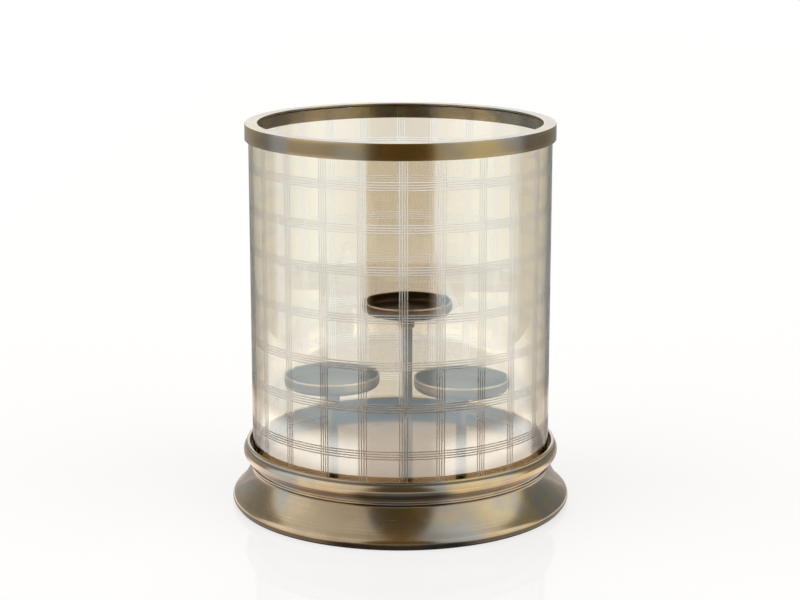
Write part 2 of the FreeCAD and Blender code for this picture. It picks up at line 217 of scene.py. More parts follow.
def bent_edge(start, finish, bend, trim_start, trim_finish):
    """Points along one edge of a section, cut back at both ends.

    A straight edge is start + t (finish - start). A bent one is the shorter arc of that radius
    through both ends, swelling to the right of the way for a positive bend and hollowed for a
    negative one.
    """
    chord = finish - start
    span = np.hypot(*chord)
    if bend == 0.0:
        near = min(0.02, 0.0002 / span)
        share = np.array((0.0, near, 0.25, 0.5, 0.75, 1.0 - near, 1.0))
        share = trim_start / span + share * (1.0 - (trim_start + trim_finish) / span)
        return start + share[:, None] * chord
    radius = abs(bend)
    left = np.array((-chord[1], chord[0])) / span
    centre = start + chord / 2 + left * math.copysign(math.sqrt(radius ** 2 - span ** 2 / 4), bend)
    first = math.atan2(*(start - centre)[::-1])
    sweep = math.copysign(2 * math.asin(span / 2 / radius), bend)
    count = max(6, int(abs(sweep) * 180 / math.pi / 3))
    turn = np.linspace(first + math.copysign(trim_start / radius, sweep),
                       first + sweep - math.copysign(trim_finish / radius, sweep), count)
    return centre + radius * np.column_stack((np.cos(turn), np.sin(turn)))


def section(corners, closed=True):
    """Outline of a turned section, as points (radius, level), counter-clockwise.

    A corner is (radius, level, ease, bend): ease is how far the corner is cut back on both sides and
    rounded by the quadratic curve (1-t)^2 A + 2t(1-t) C + t^2 B over the corner C, and bend is the
    section radius of the edge that leaves it. Ease and bend are 0 where they are left out.
    """
    corners = np.array([(*corner, 0.0, 0.0)[:4] for corner in corners])
    places, eases, bends = corners[:, :2], corners[:, 2], corners[:, 3]
    count = len(corners)
    edges = []
    for index in range(count if closed else count - 1):
        after = (index + 1) % count
        edges.append(bent_edge(places[index], places[after], bends[index], eases[index], eases[after]))
    share = np.linspace(0.0, 1.0, 8)[1:-1, None]
    rows = []
    for index, edge in enumerate(edges):
        if eases[index] > 0.0:
            before = edges[index - 1][-1]
            rows.append((1 - share) ** 2 * before + 2 * share * (1 - share) * places[index]
                        + share ** 2 * edge[0])
            rows.append(edge)
        else:
            rows.append(edge if index == 0 and not closed else edge[1:])
    points = np.concatenate(rows)
    if closed and eases[0] == 0.0:
        points = np.concatenate((points, places[:1]))
    keep = np.hypot(*np.diff(points, axis=0, append=points[:1]).T) > 1e-7
    keep[-1] |= not closed
    return points[keep]


def edge_wear_and_crease_shade(points, closed=True):
    """How sharp the section is at each point: its turning, gathered under a narrow bell.

    Outer edges come out positive, where hands keep rubbing the metal, and creases negative, where patina
    stays and shade is painted.
    """
    ahead = np.roll(points, -1, axis=0) - points
    behind = points - np.roll(points, 1, axis=0)
    turning = np.arctan2(behind[:, 0] * ahead[:, 1] - behind[:, 1] * ahead[:, 0],
                         (behind * ahead).sum(axis=1))
    steps = np.hypot(*ahead.T)
    along = np.concatenate(([0.0], np.cumsum(steps[:-1])))
    if not closed:
        turning[[0, -1]] = 0.0
    apart = np.abs(along[:, None] - along[None, :])
    if closed:
        apart = np.minimum(apart, steps.sum() - apart)
    return np.clip((np.exp(-(apart / EDGE_BELL_WIDTH) ** 2) * turning).sum(axis=1), -1.0, 1.0)


def grid_faces(rows, steps, closed=True):
    """Four-cornered faces of a grid that runs round the axis; closed joins its last row to its first."""
    low = np.arange(rows if closed else rows - 1)[:, None]
    here = np.arange(steps)[None, :]
    high, there = (low + 1) % rows, (here + 1) % steps
    return np.stack((low * steps + here, low * steps + there, high * steps + there, high * steps + here), -1)


def surface_piece(name, grid, faces):
    """A new smooth piece from a grid of points and its faces."""
    mesh = bpy.data.meshes.new(name)
    mesh.from_pydata(grid.reshape(-1, 3), [], faces.reshape(-1, 4))
    mesh.shade_smooth()
    piece = bpy.data.objects.new(name, mesh)
    bpy.context.scene.collection.objects.link(piece)
    return piece


def turned_piece(name, points, steps=256, centre=(0.0, 0.0), closed=True, rub_and_painted_light=0.0):
    """A section carried round an upright axis: (cx + r cos t, cy + r sin t, level).

    A closed section makes a ring. An open one starts and ends on the axis, where its rows close to
    one point. The map "turning" holds (t in turns, length along the section). A point attribute holds
    the turning of the edges plus rub, which may differ from point to point: lighter outer edges, darker
    creases with patina and painted shade, and through rub painted shade and painted highlights.
    """
    turn = np.linspace(0.0, 2 * np.pi, steps, endpoint=False)
    rows = len(points)
    grid = np.empty((rows, steps, 3))
    grid[:, :, 0] = centre[0] + points[:, :1] * np.cos(turn)
    grid[:, :, 1] = centre[1] + points[:, :1] * np.sin(turn)
    grid[:, :, 2] = points[:, 1:]
    faces = grid_faces(rows, steps, closed)
    piece = surface_piece(name, grid, faces)
    mesh = piece.data
    level, around = np.indices(faces.shape[:2])
    turns = np.stack((around, around + 1, around + 1, around), -1) / steps
    lengths = np.concatenate(([0.0], np.cumsum(np.hypot(*np.diff(points, axis=0, append=points[:1]).T))))
    upward = lengths[np.stack((level, level, level + 1, level + 1), -1)]
    maps = mesh.uv_layers.new(name="turning")
    maps.data.foreach_set("uv", np.stack((turns, upward), -1).astype(np.float32).ravel())
    wear_and_painted_light = np.repeat(np.clip(edge_wear_and_crease_shade(points, closed) + rub_and_painted_light, -1.0, 1.0), steps)
    worn_and_lit = mesh.attributes.new("wear_and_painted_light", "FLOAT", "POINT")
    worn_and_lit.data.foreach_set("value", wear_and_painted_light.astype(np.float32))
    if not closed:
        merge_poles(mesh)
    return piece


def merge_poles(mesh):
    """Draws the rows on the axis together into single points."""
    shape = bmesh.new()
    shape.from_mesh(mesh)
    bmesh.ops.remove_doubles(shape, verts=shape.verts, dist=1e-6)
    shape.to_mesh(mesh)
    shape.free()


def seat(piece, body, slot_name, finish, *nodes):
    """Lets a piece ride on its body, take the finish given and stand for its solids. The slot name is not
    used.
    """
    for each in finish if isinstance(finish, (list, tuple)) else [finish]:
        piece.data.materials.append(each)
    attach(piece, body)
    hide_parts(*nodes)
    return piece


def refinish(name, finish):
    """Gives a solid that stays a better finish."""
    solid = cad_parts[name]
    if not solid.material_slots:
        solid.data.materials.append(finish)
    for place in solid.material_slots:
        place.material = finish


def feed(tree, made, links):
    """Gives inputs of a shader node a value or another node's output."""
    for key, value in links.items():
        if isinstance(value, bpy.types.NodeSocket):
            tree.links.new(value, made.inputs[key])
        else:
            made.inputs[key].default_value = value


def node(tree, kind, links=None, **settings):
    """Adds one shader node: settings are its properties, links are what its inputs are fed."""
    made = tree.nodes.new(kind)
    for key, value in settings.items():
        setattr(made, key, value)
    feed(tree, made, links or {})
    return made


def maths(tree, operation, first, second=0.0, third=0.0, clamp=False):
    """The result of one maths node."""
    return node(tree, "ShaderNodeMath", {0: first, 1: second, 2: third}, operation=operation,
                use_clamp=clamp).outputs[0]


def spread(tree, value, low, high, to_low=0.0, to_high=1.0):
    """A value stretched smoothly from one range to another."""
    return node(tree, "ShaderNodeMapRange", {0: value, 1: low, 2: high, 3: to_low, 4: to_high},
                interpolation_type="SMOOTHSTEP").outputs[0]


def mixed(tree, share, first, second):
    """Two colours mixed by a share."""
    first, second = (tone if isinstance(tone, bpy.types.NodeSocket) else (*tone, 1.0)
                     for tone in (first, second))
    return node(tree, "ShaderNodeMix", {0: share, 6: first, 7: second}, data_type="RGBA").outputs[2]


def clouds(tree, place, scale, detail=4.0, roughness=0.55):
    """A soft noise pattern over the given coordinates."""
    return node(tree, "ShaderNodeTexNoise", {"Vector": place, "Scale": scale, "Detail": detail,
                                             "Roughness": roughness}).outputs[0]


def new_finish(name):
    """An empty node material, its tree and its shader."""
    made = bpy.data.materials.new(name)
    made.use_nodes = True
    return made, made.node_tree, made.node_tree.nodes["Principled BSDF"]


def object_place(tree):
    """Coordinates of the piece itself."""
    return node(tree, "ShaderNodeTexCoord").outputs["Object"]


def bearing(tree, way, azimuth):
    """Degrees round the main axis from the camera to a direction, and 1 where that is to the right."""
    turned = node(tree, "ShaderNodeVectorRotate", {"Vector": way, "Angle": -azimuth}, rotation_type="Z_AXIS")
    part = node(tree, "ShaderNodeSeparateXYZ", {0: turned.outputs[0]})
    sideways = maths(tree, "ARCTAN2", part.outputs[0], maths(tree, "MULTIPLY", part.outputs[1], -1.0))
    degrees = maths(tree, "MULTIPLY", maths(tree, "ABSOLUTE", sideways), 180.0 / math.pi)
    return degrees, maths(tree, "GREATER_THAN", part.outputs[0], 0.0)


def relief(tree, shader, height, strength, distance):
    """Small bumps after a pattern, as high as the distance in metres."""
    bump = node(tree, "ShaderNodeBump", {"Strength": strength, "Distance": distance, "Height": height})
    tree.links.new(bump.outputs[0], shader.inputs["Normal"])


def turned_lines(tree, along, scale):
    """Fine lines left by turning: noise along the section only, so every line runs right round."""
    return node(tree, "ShaderNodeTexNoise", {"W": maths(tree, "MULTIPLY", along, scale), "Scale": 1.0,
                                             "Detail": 3.0, "Roughness": 0.6},
                noise_dimensions="1D").outputs[0]


def turned_brass(name, light, brown, grey, rough, coat=1.0, edge=None):
    """Turned brass: clouds of patina, ochre and tarnish, creases darkened by patina and painted shade, and
    fine lines round the axis.

    Rubbed edges are lighter, and where an edge colour is given, the most rubbed ones take it; on the cups
    this is partly a painted highlight.
    """
    finish, tree, shader = new_finish(name)
    place = object_place(tree)
    along = node(tree, "ShaderNodeSeparateXYZ", {0: node(
        tree, "ShaderNodeUVMap", uv_map="turning").outputs[0]}).outputs[1]
    wear_and_painted_light = node(tree, "ShaderNodeAttribute", attribute_name="wear_and_painted_light").outputs["Fac"]
    broad = clouds(tree, place, 15.0, 3.0, 0.5)
    fine = clouds(tree, place, 160.0, 6.0, 0.65)
    rings = turned_lines(tree, along, 2600.0)
    coarse = turned_lines(tree, along, 700.0)
    patina = maths(tree, "ADD", maths(tree, "MULTIPLY", broad, 0.85), maths(tree, "MULTIPLY", fine, 0.15))
    patina = maths(tree, "ADD", patina, maths(tree, "MULTIPLY", maths(tree, "SUBTRACT", coarse, 0.5), 0.16))
    # Lighter where the point attribute and the patina clouds are high: rubbed outer edges, with painted
    # highlights and painted shade carried in from the attribute.
    rubbed = spread(tree, maths(tree, "MULTIPLY_ADD", wear_and_painted_light, 0.3, patina), 0.32, 0.74)
    crease_patina_and_shade = spread(tree, wear_and_painted_light, -0.10, -0.75)
    tone = mixed(tree, rubbed, brown, light)
    ochre = spread(tree, clouds(tree, place, 11.0, 2.0, 0.5), 0.50, 0.62)
    yellow = (light[0], light[1] * 0.98, light[2] * 0.66)
    tone = mixed(tree, maths(tree, "MULTIPLY", ochre, 0.6), tone, yellow)
    tarnish = spread(tree, clouds(tree, place, 19.0, 2.0, 0.5), 0.46, 0.62)
    tone = mixed(tree, maths(tree, "MULTIPLY", tarnish, 0.8), tone, grey)
    # Creases take a dark brown: patina in the hollows and painted shade.
    tone = mixed(tree, maths(tree, "MULTIPLY", crease_patina_and_shade, 0.85), tone, [part * 0.25 for part in brown])
    # The edge colour is partly rubbing and partly a painted highlight on the cups' top edges.
    if edge:
        tone = mixed(tree, spread(tree, wear_and_painted_light, 0.45, 0.85), tone, edge)
    grain = maths(tree, "MULTIPLY_ADD", rings, 0.6, maths(tree, "MULTIPLY", fine, 0.4))
    polish = spread(tree, grain, 0.25, 0.75, rough - 0.05, rough + 0.07)
    feed(tree, shader, {"Base Color": tone, "Metallic": 1.0, "Coat Weight": coat, "Coat Roughness": 0.12,
                        "Roughness": maths(tree, "MULTIPLY_ADD", crease_patina_and_shade, 0.12, polish)})
    relief(tree, shader, grain, 0.3, 0.00004)
    return finish


def polished_floor(colours):
    """Polished brass disc: faint buffing rings round the axis, smudges and dust."""
    finish, tree, shader = new_finish("polished_floor_brass")
    place = object_place(tree)
    across = node(tree, "ShaderNodeSeparateXYZ", {0: place})
    radius = maths(tree, "SQRT", maths(tree, "ADD", maths(tree, "POWER", across.outputs[0], 2.0),
                                       maths(tree, "POWER", across.outputs[1], 2.0)))
    rings = turned_lines(tree, radius, 1500.0)
    smudge = clouds(tree, place, 30.0, 5.0, 0.6)
    dust = clouds(tree, place, 420.0, 3.0, 0.7)
    tone = mixed(tree, spread(tree, maths(tree, "MULTIPLY_ADD", rings, 0.3, smudge), 0.45, 0.85),
                 colours.floor_light[:], colours.floor_brown[:])
    rough = maths(tree, "ADD", spread(tree, smudge, 0.35, 0.75, 0.09, 0.20),
                  spread(tree, dust, 0.55, 0.8, 0.0, 0.10))
    feed(tree, shader, {"Base Color": tone, "Metallic": 1.0, "Roughness": rough})
    relief(tree, shader, rings, 0.2, 0.00003)
    return finish


def glass_surface(name, tone, rough, shine, bump):
    """A clear surface of the glass, uneven in soft clouds.

    Tone is two colours, scale and detail; rough is two values and scale; shine is the strength of the
    reflection; bump is the height of the relief in metres and its scale.
    """
    finish, tree, shader = new_finish(name)
    place = object_place(tree)
    first, second, scale, detail = tone
    shade = mixed(tree, spread(tree, clouds(tree, place, scale, detail), 0.3, 0.7), first, second)
    film = clouds(tree, place, rough[2], 5.0, 0.6)
    feed(tree, shader, {"Base Color": shade, "Roughness": spread(tree, film, 0.3, 0.8, rough[0], rough[1]),
                        "Transmission Weight": 1.0, "IOR": GLASS_BEND, "Specular Tint": (*shine, 1.0)})
    relief(tree, shader, clouds(tree, place, bump[1], 1.0, 0.4), 0.25, bump[0])
    return finish


def glass_finishes(colours):
    """Outer lustre, flanks and bottoms of the cut lines, plain inner face and bare margin.

    The lustre throws back a good part of the light, bluish, and lets the warm rest through. The cut
    lines and the inner face throw back next to nothing, so the lines read as clear white strokes.
    The margin in the gallery is bare amber glass, and the one under the rim is plain.
    """
    tint, white, amber = colours.glass_tint[:], colours.cut_white[:], colours.margin_amber[:]
    greys = [[part * share for part in white] for share in (0.56, 0.50)]
    return (
        glass_surface("tinted_lustre_glass", (tint, [part ** 1.12 for part in tint], 9.0, 2.0),
                      (0.0, 0.03, 60.0), (0.80, 0.95, 0.99), (0.0003, 14.0)),
        glass_surface("ground_line_flanks", (*greys, 900.0, 2.0),
                      (0.20, 0.30, 700.0), (0.12, 0.12, 0.12), (0.00002, 2200.0)),
        glass_surface("ground_cut_lines", (white, [part * 0.95 for part in white], 900.0, 2.0),
                      (0.12, 0.24, 700.0), (0.12, 0.12, 0.12), (0.00002, 2200.0)),
        glass_surface("plain_inner_glass", ((1.0, 1.0, 1.0), (0.985, 0.98, 0.97), 12.0, 3.0),
                      (0.0, 0.02, 45.0), (0.05, 0.05, 0.05), (0.0002, 11.0)),
        glass_surface("bare_amber_margin", (amber, [part ** 1.12 for part in amber], 30.0, 2.0),
                      (0.0, 0.03, 60.0), (0.10, 0.10, 0.10), (0.0002, 14.0)),
    )


def clear_silicone(colours):
    """Clear silicone: milky and slightly uneven, with a soft gloss."""
    finish, tree, shader = new_finish("clear_silicone")
    place = object_place(tree)
    cloud = clouds(tree, place, 90.0)
    tone = mixed(tree, cloud, [part * 0.88 for part in colours.silicone], colours.silicone[:])
    feed(tree, shader, {"Base Color": tone, "Roughness": spread(tree, cloud, 0.3, 0.7, 0.35, 0.55),
                        "Transmission Weight": 0.6, "IOR": 1.41})
    relief(tree, shader, cloud, 0.3, 0.0002)
    return finish


def pressed_felt(colours):
    """Dark felt: short fibres in tangled clumps."""
    finish, tree, shader = new_finish("pressed_felt")
    place = object_place(tree)
    fibres = clouds(tree, place, 1400.0, 6.0, 0.7)
    clumps = clouds(tree, place, 180.0)
    tone = mixed(tree, spread(tree, maths(tree, "MULTIPLY_ADD", clumps, 0.5, fibres), 0.4, 1.1),
                 [part * 0.6 for part in colours.felt], [part * 1.7 for part in colours.felt])
    feed(tree, shader, {"Base Color": tone, "Roughness": spread(tree, fibres, 0.2, 0.8, 0.85, 1.0),
                        "Sheen Weight": 0.3})
    relief(tree, shader, fibres, 0.6, 0.0004)
    return finish


def black_sheet(colours):
    """Black painted sheet: orange peel and faint pale scuffs."""
    finish, tree, shader = new_finish("black_painted_sheet")
    place = object_place(tree)
    peel = clouds(tree, place, 900.0, 2.0)
    scuffs = clouds(tree, place, 70.0, 6.0, 0.7)
    tone = mixed(tree, spread(tree, scuffs, 0.5, 0.8), colours.black_paint[:],
                 [part * 2.6 for part in colours.black_paint])
    feed(tree, shader, {"Base Color": tone, "Roughness": spread(tree, scuffs, 0.3, 0.8, 0.38, 0.6)})
    relief(tree, shader, peel, 0.3, 0.0001)
    return finish


def zinc_plate(colours):
    """Zinc plated steel: small spangles of lighter and darker grey."""
    finish, tree, shader = new_finish("zinc_plated_steel")
    place = object_place(tree)
    spangle = clouds(tree, place, 350.0, 4.0)
    tone = mixed(tree, spread(tree, spangle, 0.3, 0.7), [part * 0.72 for part in colours.zinc],
                 colours.zinc[:])
    feed(tree, shader, {"Base Color": tone, "Metallic": 1.0,
                        "Roughness": spread(tree, spangle, 0.3, 0.7, 0.28, 0.46)})
    relief(tree, shader, spangle, 0.2, 0.00005)
    return finish


def neck_radius(sizes):
    """Radius of the collar's neck, which is also the centre of its bead."""
    return reach("gallery_collar") - sizes.bead_round


def skirt_section(sizes):
    """Foot bead, hollow cove, upright shoulder edge and the shoulder, with the hollow inside."""
    low, high = foot_level("base_skirt"), top_level("base_skirt")
    foot = reach("base_skirt")
    edge = foot - sizes.foot_round + math.sqrt(sizes.foot_round ** 2 - (sizes.foot_bead / 2) ** 2)
    recess = foot - sizes.foot_width
    shoulder = neck_radius(sizes) + sizes.shoulder_step
    ease = sizes.edge_ease
    return section((
        (recess, low, ease),
        (edge, low, ease, sizes.foot_round),
        (edge, low + sizes.foot_bead, 0.0, -sizes.cove_radius),
        (shoulder - sizes.shoulder_groove, high - sizes.shoulder_edge),
        (shoulder, high - sizes.shoulder_edge, ease / 2),
        (shoulder, high, ease),
        (shoulder - sizes.skirt_flange, high, ease),
        (shoulder - sizes.skirt_flange, high - sizes.skirt_wall, ease),
        (shoulder - sizes.skirt_wall, high - sizes.skirt_wall, 0.0, sizes.cove_radius + sizes.skirt_wall),
        (recess - sizes.plate_land, low + sizes.plate_recess),
        (recess, low + sizes.plate_recess),
    ))


def collar_section(sizes):
    """Neck, fat bead, crease, lip with round edges, gallery and the ledge of the floor plate."""
    low, high = foot_level("gallery_collar"), top_level("gallery_collar")
    neck = neck_radius(sizes)
    lip = reach("gallery_collar") - sizes.bead_proud
    gallery = lip - sizes.lip_wall
    bore = gallery - sizes.collar_land
    rise = low + sizes.bead_height
    crease = rise + math.sqrt(sizes.bead_round ** 2 - (lip - neck) ** 2)
    ease = sizes.edge_ease
    return section((
        (bore, low, ease),
        (neck, low),
        (neck, rise - sizes.bead_round, 0.0, sizes.bead_round),
        (lip, crease, ease / 2),
        (lip, high, sizes.lip_round),
        (gallery, high, sizes.lip_round),
        (gallery, low + sizes.collar_foot, ease),
        (bore, low + sizes.collar_foot, ease),
    ))


def rim_section(sizes):
    """Angle ring: an upright band outside the glass and a flat flange over its top edge."""
    low, high = foot_level("rim_ring"), top_level("rim_ring")
    band = reach("rim_ring")
    bore = band - sizes.rim_wall
    mouth = reach("glass_cylinder") - sizes.glass_wall - sizes.rim_overhang
    ease = sizes.edge_ease
    return section((
        (bore, low, ease),
        (band, low, ease),
        (band, high, sizes.rim_round),
        (mouth, high, ease),
        (mouth, high - sizes.rim_wall, ease),
        (bore, high - sizes.rim_wall, ease),
    ))


def station_centre(station):
    """Axis of one candle station."""
    low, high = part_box(f"candle_post_{station}")
    return (low.x + high.x) / 2, (low.y + high.y) / 2


def post_section(station):
    """Plain stud, post and flat top, from axis to axis."""
    node_name = f"candle_post_{station}"
    low, high = foot_level(node_name), top_level(node_name)
    floor = top_level("floor_plate")
    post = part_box(node_name)[1].x - station_centre(station)[0]
    stud = post * STUD_SHARE
    return section((
        (0.0, low),
        (stud, low, STUD_EASE),
        (stud, floor),
        (post, floor, POST_EASE),
        (post, high, POST_EASE),
        (0.0, high),
    ), closed=False)


def ferrule_section(station):
    """Sleeve with a chamfered foot edge and a socket for the post."""
    node_name = f"post_ferrule_{station}"
    low, high = foot_level(node_name), top_level(node_name)
    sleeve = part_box(node_name)[1].x - station_centre(station)[0]
    socket = sleeve * SOCKET_SHARE
    depth = (high - low) * SOCKET_DEPTH_SHARE
    return section((
        (0.0, low + depth),
        (socket, low + depth),
        (socket, low, POST_EASE),
        (sleeve - SLEEVE_CHAMFER, low, SLEEVE_EASE),
        (sleeve, low + SLEEVE_CHAMFER, SLEEVE_EASE),
        (sleeve, high, POST_EASE),
        (0.0, high),
    ), closed=False)


def cup_section(station, sizes):
    """Pressed cup: flat floor, round corner, upright wall and a rounded edge."""
    node_name = f"candle_cup_{station}"
    low, high = foot_level(node_name), top_level(node_name)
    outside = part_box(node_name)[1].x - station_centre(station)[0]
    bore = outside - sizes.cup_wall
    corner = outside - sizes.cup_round
    return section((
        (0.0, low),
        (corner, low, 0.0, sizes.cup_round),
        (outside, low + sizes.cup_round),
        (outside, high, sizes.cup_edge),
        (bore, high, sizes.cup_edge),
        (bore, low + sizes.cup_round, 0.0, sizes.cup_wall - sizes.cup_round),
        (corner, low + sizes.cup_wall),
        (0.0, low + sizes.cup_wall),
    ), closed=False)


def cut_stations(groups, pitch, width, depth):
    """Where a set of cut lines starts, reaches its depth and ends, with the depth at each place.

    Every group has four lines, a pitch apart. Each line is a flat-bottomed groove: full depth over
    its middle seven tenths and straight flanks to the surface. Each place also has the finish that
    starts there.
    """
    lines = (np.asarray(groups)[:, None] + (np.arange(LINES) - (LINES - 1) / 2) * pitch).ravel()
    places = (lines[:, None] + np.array((-0.5, -0.36, 0.36, 0.5)) * width).ravel()
    depths = np.tile(np.array((0.0, depth, depth, 0.0)), len(lines))
    ground = np.tile(np.array((FLANK, BOTTOM, FLANK, LUSTRE)), len(lines))
    return places, depths, ground


def with_fill(places, depths, ground, extra):
    """Adds plain places between the cuts, in order."""
    places = np.concatenate((places, extra))
    order = np.argsort(places)
    depths = np.concatenate((depths, np.zeros(len(extra))))[order]
    ground = np.concatenate((ground, np.zeros(len(extra), int)))[order]
    return places[order], depths, ground


def glass_turns(sizes, radius):
    """Directions of the glass grid: the upright lines and plain places between their groups."""
    back = np.radians(np.arange(FRONT_GROUPS.size, GROUP_COUNT) * GROUP_STEP + BACK_START)
    back += np.radians(BACK_SWAY) * np.sin(np.arange(back.size) * 2.4)
    groups = np.concatenate((FRONT_GROUPS, back))
    following = np.roll(groups, -1)
    following[-1] += 2 * np.pi
    between = groups[:, None] + (following - groups)[:, None] * np.linspace(0.17, 0.83, 7)
    cuts = cut_stations(groups, sizes.cut_pitch / radius, sizes.cut_width / radius, sizes.cut_depth)
    return with_fill(*cuts, between.ravel())


def lustre_limits(sizes):
    """Levels between which the glass has its lustre."""
    return sizes.lustre_foot, foot_level("rim_ring") + RIM_LAP


def glass_levels(sizes, low, high):
    """Levels of the glass grid: the level lines, plain places between, and two uncut rows at each end."""
    stops = np.concatenate(([low + GLASS_MARGIN], RING_GROUPS, [high - GLASS_MARGIN]))
    between = stops[:-1, None] + np.diff(stops)[:, None] * np.linspace(0.2, 0.8, 4)
    cuts = cut_stations(RING_GROUPS, sizes.cut_pitch, sizes.cut_width, sizes.cut_depth)
    level, depth, ground = with_fill(*cuts, np.concatenate((between.ravel(), lustre_limits(sizes))))
    level = np.concatenate(([low + GLASS_EASE, low + GLASS_MARGIN], level,
                            [high - GLASS_MARGIN, high - GLASS_EASE]))
    return level, np.pad(depth, 2), np.pad(ground, 2)


def glass_plain_section(radius, bore, low, high):
    """Rest of the glass section, as (radius, level): round top edge, inner face and round foot edge."""
    quarter = np.linspace(0.0, np.pi / 2, 8)
    across, up = GLASS_EASE * np.cos(quarter), GLASS_EASE * np.sin(quarter)
    outside, inside = radius - GLASS_EASE, bore + GLASS_EASE
    top, foot = high - GLASS_EASE, low + GLASS_EASE
    return np.concatenate((
        np.column_stack((outside + across, top + up))[1:],
        np.column_stack((inside - across[::-1], top + up[::-1])),
        np.column_stack((np.full(7, bore), np.linspace(top, foot, 8)[1:])),
        np.column_stack((inside - across, foot - up))[1:],
        np.column_stack((outside + across[::-1], foot - up[::-1]))[:-1],
    ))


def glass_piece(sizes):
    """Glass cylinder with its plaid of cut lines.

    The surface is (r sin t, -r cos t, z) on a grid of directions and levels. Outside, r is the glass
    radius less the deeper of the two grooves that cross there; over the rounded ends and inside, r
    follows the plain section, so the grid closes both ways.
    """
    radius = reach("glass_cylinder")
    low, high = foot_level("glass_cylinder"), top_level("glass_cylinder")
    turn, turn_depth, turn_ground = glass_turns(sizes, radius)
    level, level_depth, level_ground = glass_levels(sizes, low, high)
    plain = glass_plain_section(radius, radius - sizes.glass_wall, low, high)
    cut_here = np.pad(np.ones(len(level) - 4, int), 2)[:, None]

    rows, steps, outer = len(level) + len(plain), len(turn), len(level)
    depth = np.zeros((rows, steps))
    depth[:outer] = np.maximum(turn_depth * cut_here, level_depth[:, None])
    radii = np.concatenate((np.full(outer, radius), plain[:, 0]))[:, None] - depth
    levels = np.concatenate((level, plain[:, 1]))[:, None] + np.zeros_like(depth)
    grid = np.stack((radii * np.sin(turn), -radii * np.cos(turn), levels), -1)
    piece = surface_piece("cut_glass_shade", grid, grid_faces(rows, steps))

    bare_foot, bare_top = lustre_limits(sizes)
    uncut = np.where(level < bare_foot - 1e-6, BARE, np.where(level > bare_top - 1e-6, PLAIN, LUSTRE))
    cut = np.maximum(turn_ground * cut_here, level_ground[:, None])
    finishes = np.full((rows, steps), PLAIN, np.int32)
    finishes[:outer] = np.where(cut > LUSTRE, cut, uncut[:, None])
    piece.data.polygons.foreach_set("material_index", finishes.ravel())
    piece.data.set_sharp_from_angle(angle=math.radians(5))
    return piece


def painted_table_glow(tree, place, stage):
    """Painted glow that the table shows to metal and glass, by distance from the main axis and by direction.

    Two bright bands lie at the sides, a duller stretch with a brown end lies in front, towards the
    camera, and the far side and the foot of the lantern are dim.
    """
    away = node(tree, "ShaderNodeVectorMath", {0: place}, operation="LENGTH").outputs["Value"]
    degrees, rightward = bearing(tree, place, stage.camera_azimuth)
    in_front = spread(tree, degrees, 30.0, 18.0)
    near = maths(tree, "MULTIPLY", spread(tree, away, 0.27, 0.32, 0.42, 1.5), spread(tree, away, 0.43, 0.36))
    sides = maths(tree, "MULTIPLY_ADD", spread(tree, away, 0.53, 0.60, 1.08, 1.42),
                  spread(tree, away, 0.62, 0.74, 1.0, 0.78), near)
    front = spread(tree, away, 0.36, 0.58, 1.12, 0.62)
    for start, finish, first in ((0.90, 0.72, 0.5), (0.95, 0.90, 0.08), (0.20, 0.34, 0.25)):
        front = maths(tree, "MULTIPLY", front, spread(tree, away, start, finish, first, 1.0))
    shine = maths(tree, "MULTIPLY_ADD", in_front, maths(tree, "SUBTRACT", front, sides), sides)
    shine = maths(tree, "MULTIPLY", shine, spread(tree, away, 0.144, 0.164, 0.25, 1.0))
    ends = maths(tree, "MULTIPLY_ADD", rightward, END_LEAD, degrees)
    shine = maths(tree, "MULTIPLY", shine, spread(tree, ends, 102.0, 122.0, 1.0, 0.32))
    tone = mixed(tree, spread(tree, away, 0.40, 0.47), (1.0, 0.86, 0.78), (1.0, 1.0, 1.0))
    pale = maths(tree, "MULTIPLY", spread(tree, away, 0.53, 0.59), spread(tree, away, 0.76, 0.66))
    tone = mixed(tree, pale, tone, (1.0, 0.91, 0.85))
    brown = maths(tree, "MULTIPLY", in_front, spread(tree, away, 0.90, 0.96))
    tone = mixed(tree, brown, tone, (1.0, 0.50, 0.18))
    strength = maths(tree, "MULTIPLY", shine, stage.table_glow_strength)
    return node(tree, "ShaderNodeEmission", {"Color": tone, "Strength": strength}).outputs[0]


def white_table(colours, stage):
    """White table top with a faint gloss, on which metal and glass see a painted glow in bands of light."""
    finish, tree, shader = new_finish("white_table_top")
    place = object_place(tree)
    haze = clouds(tree, place, 3.0, 3.0)
    white = mixed(tree, haze, [part * 0.985 for part in colours.table], colours.table[:])
    paint = node(tree, "ShaderNodeBsdfDiffuse", {"Color": white}).outputs[0]
    path = node(tree, "ShaderNodeLightPath")
    seen = maths(tree, "ADD", path.outputs["Is Camera Ray"], path.outputs["Is Transmission Ray"], clamp=True)
    strength = maths(tree, "MULTIPLY", seen, stage.table_white)
    own = node(tree, "ShaderNodeEmission", {"Strength": strength}).outputs[0]
    both = node(tree, "ShaderNodeAddShader", {0: paint, 1: own}).outputs[0]
    film = spread(tree, haze, 0.3, 0.7, 0.03, 0.05)
    gloss = node(tree, "ShaderNodeBsdfGlossy", {"Roughness": film}).outputs[0]
    both = node(tree, "ShaderNodeMixShader", {0: stage.table_gloss, 1: both, 2: gloss}).outputs[0]
    # Rays that have bounced off metal or glass see the painted glow in place of the lit table.
    thrown = maths(tree, "GREATER_THAN", path.outputs["Glossy Depth"], 0.5)
    surface = node(tree, "ShaderNodeMixShader", {0: thrown, 1: both, 2: painted_table_glow(tree, place, stage)})
    tree.links.new(surface.outputs[0], tree.nodes["Material Output"].inputs["Surface"])
    tree.nodes.remove(shader)
    return finish


